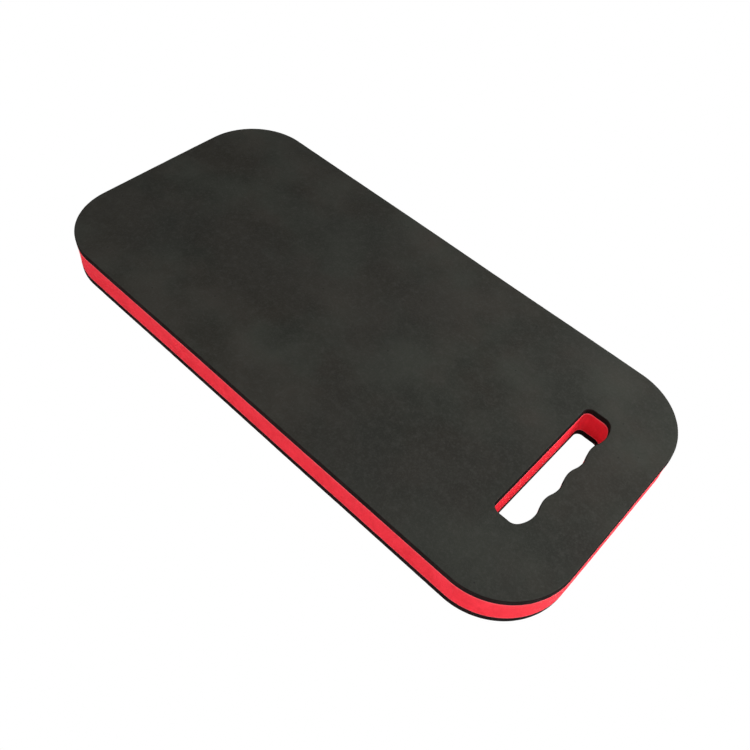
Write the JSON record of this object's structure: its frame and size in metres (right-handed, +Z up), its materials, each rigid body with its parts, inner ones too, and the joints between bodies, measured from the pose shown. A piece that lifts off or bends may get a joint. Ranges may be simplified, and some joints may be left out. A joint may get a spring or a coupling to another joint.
{
  "type": "kneeling pad",
  "caption": "Flat rounded foam kneeling pad: a thick soft red core between thin black skins, with a finger-grooved hand slot cut through one end.",
  "frame": {"origin": "centre of the underside, on the surface that the pad lies on", "axes": "+X along the pad's length towards the end with the hand slot, +Y across the pad, +Z up from the underside to the face that is knelt on"},
  "size_m": [0.45, 0.213, 0.03],
  "materials": {
    "black_foam": "matte, fine-grained closed-cell foam skin",
    "red_foam": "matte, die-cut foam with fine open cells",
    "adhesive": "cured contact adhesive, dull"
  },
  "bodies": {
    "root": {"bottom_skin": "black_foam", "lower_bond": "adhesive", "core": "red_foam", "upper_bond": "adhesive", "top_skin": "black_foam"}
  },
  "joints": []
}
